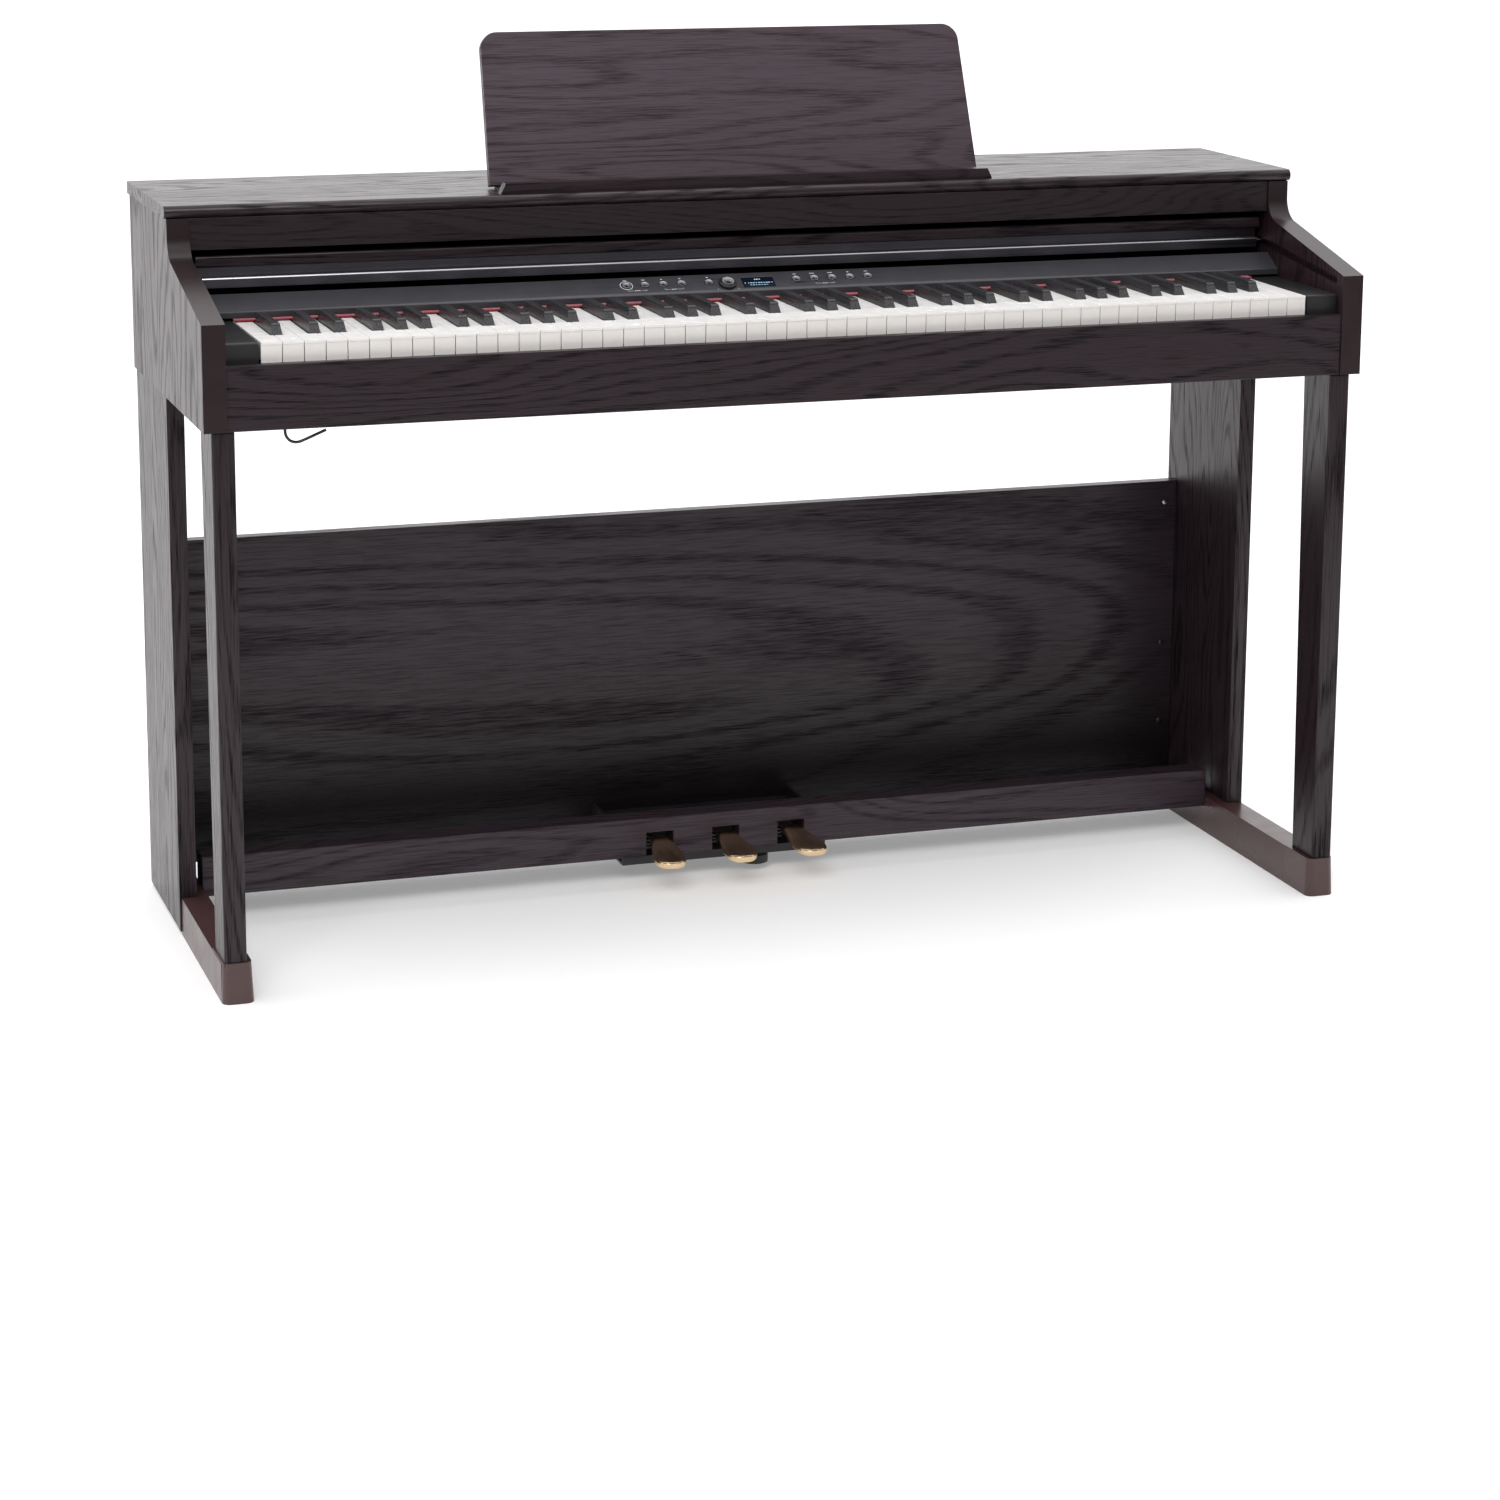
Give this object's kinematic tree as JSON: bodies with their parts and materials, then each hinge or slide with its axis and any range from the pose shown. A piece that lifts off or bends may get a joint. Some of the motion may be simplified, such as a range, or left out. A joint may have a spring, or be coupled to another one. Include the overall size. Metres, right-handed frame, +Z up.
{
  "type": "digital piano on stand",
  "caption": "Console digital piano on a panelled stand, with a sliding key cover, folding music rest, hinged keys, tilted control strip, dial, buttons and pedals.",
  "frame": {"origin": "on the floor, under the middle of the whole piano", "axes": "+X to the player's right along the keyboard, +Y from the player to the back, +Z up"},
  "size_m": [1.366, 0.467, 1.0279],
  "materials": {
    "wood": "dark rosewood grain foil, satin",
    "wood_edge": "dark rosewood, satin",
    "charcoal": "satin charcoal",
    "display": "gloss",
    "felt": "felt",
    "black_plastic": "satin",
    "frame_plastic": "moulded",
    "circuit_board": "solder mask",
    "steel": "brushed",
    "rail_brown": "satin",
    "bracket_black": "satin black paint",
    "brass": "polished",
    "ivory": "satin gloss",
    "ebony": "satin"
  },
  "bodies": {
    "case": {"top_board": "wood", "left_arm": "wood", "right_arm": "wood", "fascia": "wood", "key_slip": "wood", "key_bed": "wood_edge", "back_board": "wood_edge", "control_panel": "charcoal", "display": "display", "felt_strip": "felt", "end_blocks": "black_plastic", "key_frame": "frame_plastic", "main_board": "circuit_board", "speakers": "black_plastic", "jack_plate": "black_plastic", "headphone_hook": "steel", "cover_rails": "steel", "desk_ledge": "wood_edge", "left_side_panel": "wood", "right_side_panel": "wood", "front_legs": "wood_edge", "foot_rails": "rail_brown", "rear_panel": "wood", "pedal_board": "wood", "pedal_bracket": "bracket_black", "pedal_springs": "steel", "screws": "steel"},
    "carriage": {"cover_carriage": "steel"},
    "cover": {"cover_panel": "wood", "cover_bar": "wood", "cover_grip": "black_plastic"},
    "shaft": {"cover_shaft": "steel"},
    "music_rest": {"desk_panel": "wood"},
    "dial": {"dial": "black_plastic"},
    "power_button": {"power_button": "steel"},
    "button_1": {"button_1": "steel"},
    "button_2": {"button_2": "steel"},
    "button_3": {"button_3": "steel"},
    "button_4": {"button_4": "steel"},
    "button_5": {"button_5": "steel"},
    "button_6": {"button_6": "steel"},
    "button_7": {"button_7": "steel"},
    "button_8": {"button_8": "steel"},
    "button_9": {"button_9": "steel"},
    "soft_pedal": {"soft_pedal": "brass"},
    "sostenuto_pedal": {"sostenuto_pedal": "brass"},
    "damper_pedal": {"damper_pedal": "brass"},
    "adjuster": {"adjuster": "black_plastic"},
    "keys_c": {"keys_c": "ivory"},
    "keys_c_sharp": {"keys_c_sharp": "ebony"},
    "keys_d": {"keys_d": "ivory"},
    "keys_d_sharp": {"keys_d_sharp": "ebony"},
    "keys_e": {"keys_e": "ivory"},
    "keys_f": {"keys_f": "ivory"},
    "keys_f_sharp": {"keys_f_sharp": "ebony"},
    "keys_g": {"keys_g": "ivory"},
    "keys_g_sharp": {"keys_g_sharp": "ebony"},
    "keys_a": {"keys_a": "ivory"},
    "keys_a_sharp": {"keys_a_sharp": "ebony"},
    "keys_b": {"keys_b": "ivory"}
  },
  "joints": [
    {"name": "cover_slide", "type": "slide", "parent": "case", "child": "carriage", "axis": [0, -1, 0], "range_m": [0, 0.2]},
    {"name": "cover_tilt", "type": "hinge", "parent": "carriage", "child": "cover", "pos_m": [0, 0.194, 0.788], "axis": [1, 0, 0], "range_deg": [0, 5.7]},
    {"name": "cover_roll", "type": "hinge", "parent": "carriage", "child": "shaft", "pos_m": [0, 0.196, 0.776], "axis": [1, 0, 0], "continuous": true},
    {"name": "desk_fold", "type": "hinge", "parent": "case", "child": "music_rest", "pos_m": [0, 0.0445, 0.8596], "axis": [1, 0, 0], "range_deg": [-69.7, 0]},
    {"name": "dial_turn", "type": "hinge", "parent": "case", "child": "dial", "pos_m": [-0.039, -0.05038, 0.7455], "axis": [0, -0.5, 0.866], "continuous": true},
    {"name": "push_power_button", "type": "slide", "parent": "case", "child": "power_button", "axis": [0, 0.5, -0.866], "range_m": [0, 0.001], "stiffness_N_per_m": 800, "springref_m": -0.0015},
    {"name": "push_button_1", "type": "slide", "parent": "case", "child": "button_1", "axis": [0, 0.5, -0.866], "range_m": [0, 0.001], "stiffness_N_per_m": 800, "springref_m": -0.0015},
    {"name": "push_button_2", "type": "slide", "parent": "case", "child": "button_2", "axis": [0, 0.5, -0.866], "range_m": [0, 0.001], "stiffness_N_per_m": 800, "springref_m": -0.0015},
    {"name": "push_button_3", "type": "slide", "parent": "case", "child": "button_3", "axis": [0, 0.5, -0.866], "range_m": [0, 0.001], "stiffness_N_per_m": 800, "springref_m": -0.0015},
    {"name": "push_button_4", "type": "slide", "parent": "case", "child": "button_4", "axis": [0, 0.5, -0.866], "range_m": [0, 0.001], "stiffness_N_per_m": 800, "springref_m": -0.0015},
    {"name": "push_button_5", "type": "slide", "parent": "case", "child": "button_5", "axis": [0, 0.5, -0.866], "range_m": [0, 0.001], "stiffness_N_per_m": 800, "springref_m": -0.0015},
    {"name": "push_button_6", "type": "slide", "parent": "case", "child": "button_6", "axis": [0, 0.5, -0.866], "range_m": [0, 0.001], "stiffness_N_per_m": 800, "springref_m": -0.0015},
    {"name": "push_button_7", "type": "slide", "parent": "case", "child": "button_7", "axis": [0, 0.5, -0.866], "range_m": [0, 0.001], "stiffness_N_per_m": 800, "springref_m": -0.0015},
    {"name": "push_button_8", "type": "slide", "parent": "case", "child": "button_8", "axis": [0, 0.5, -0.866], "range_m": [0, 0.001], "stiffness_N_per_m": 800, "springref_m": -0.0015},
    {"name": "push_button_9", "type": "slide", "parent": "case", "child": "button_9", "axis": [0, 0.5, -0.866], "range_m": [0, 0.001], "stiffness_N_per_m": 800, "springref_m": -0.0015},
    {"name": "pedal_soft", "type": "hinge", "parent": "case", "child": "soft_pedal", "pos_m": [0, 0.1475, 0.0505], "axis": [1, 0, 0], "range_deg": [0, 4.6], "stiffness_Nm_per_rad": 20, "springref_deg": -8.02},
    {"name": "pedal_sostenuto", "type": "hinge", "parent": "case", "child": "sostenuto_pedal", "pos_m": [0, 0.1475, 0.0505], "axis": [1, 0, 0], "range_deg": [0, 4.6], "stiffness_Nm_per_rad": 20, "springref_deg": -8.02},
    {"name": "pedal_damper", "type": "hinge", "parent": "case", "child": "damper_pedal", "pos_m": [0, 0.1475, 0.0505], "axis": [1, 0, 0], "range_deg": [0, 4.6], "stiffness_Nm_per_rad": 20, "springref_deg": -8.02},
    {"name": "adjuster_screw", "type": "slide", "parent": "case", "child": "adjuster", "axis": [0, 0, -1], "range_m": [0, 0.0085]},
    {"name": "key_c", "type": "hinge", "parent": "case", "child": "keys_c", "pos_m": [0, 0.022, 0.715], "axis": [1, 0, 0], "range_deg": [0, 2.4], "stiffness_Nm_per_rad": 6, "springref_deg": -20.05},
    {"name": "key_c_sharp", "type": "hinge", "parent": "case", "child": "keys_c_sharp", "pos_m": [0, 0.022, 0.715], "axis": [1, 0, 0], "range_deg": [0, 2.4], "stiffness_Nm_per_rad": 6, "springref_deg": -20.05},
    {"name": "key_d", "type": "hinge", "parent": "case", "child": "keys_d", "pos_m": [0, 0.022, 0.715], "axis": [1, 0, 0], "range_deg": [0, 2.4], "stiffness_Nm_per_rad": 6, "springref_deg": -20.05},
    {"name": "key_d_sharp", "type": "hinge", "parent": "case", "child": "keys_d_sharp", "pos_m": [0, 0.022, 0.715], "axis": [1, 0, 0], "range_deg": [0, 2.4], "stiffness_Nm_per_rad": 6, "springref_deg": -20.05},
    {"name": "key_e", "type": "hinge", "parent": "case", "child": "keys_e", "pos_m": [0, 0.022, 0.715], "axis": [1, 0, 0], "range_deg": [0, 2.4], "stiffness_Nm_per_rad": 6, "springref_deg": -20.05},
    {"name": "key_f", "type": "hinge", "parent": "case", "child": "keys_f", "pos_m": [0, 0.022, 0.715], "axis": [1, 0, 0], "range_deg": [0, 2.4], "stiffness_Nm_per_rad": 6, "springref_deg": -20.05},
    {"name": "key_f_sharp", "type": "hinge", "parent": "case", "child": "keys_f_sharp", "pos_m": [0, 0.022, 0.715], "axis": [1, 0, 0], "range_deg": [0, 2.4], "stiffness_Nm_per_rad": 6, "springref_deg": -20.05},
    {"name": "key_g", "type": "hinge", "parent": "case", "child": "keys_g", "pos_m": [0, 0.022, 0.715], "axis": [1, 0, 0], "range_deg": [0, 2.4], "stiffness_Nm_per_rad": 6, "springref_deg": -20.05},
    {"name": "key_g_sharp", "type": "hinge", "parent": "case", "child": "keys_g_sharp", "pos_m": [0, 0.022, 0.715], "axis": [1, 0, 0], "range_deg": [0, 2.4], "stiffness_Nm_per_rad": 6, "springref_deg": -20.05},
    {"name": "key_a", "type": "hinge", "parent": "case", "child": "keys_a", "pos_m": [0, 0.022, 0.715], "axis": [1, 0, 0], "range_deg": [0, 2.4], "stiffness_Nm_per_rad": 6, "springref_deg": -20.05},
    {"name": "key_a_sharp", "type": "hinge", "parent": "case", "child": "keys_a_sharp", "pos_m": [0, 0.022, 0.715], "axis": [1, 0, 0], "range_deg": [0, 2.4], "stiffness_Nm_per_rad": 6, "springref_deg": -20.05},
    {"name": "key_b", "type": "hinge", "parent": "case", "child": "keys_b", "pos_m": [0, 0.022, 0.715], "axis": [1, 0, 0], "range_deg": [0, 2.4], "stiffness_Nm_per_rad": 6, "springref_deg": -20.05}
  ],
  "couplings": [
    {"joint": "cover_tilt", "follows": "cover_slide", "rad_per_m": 0.4945},
    {"joint": "cover_roll", "follows": "cover_slide", "rad_per_m": 166.67}
  ]
}
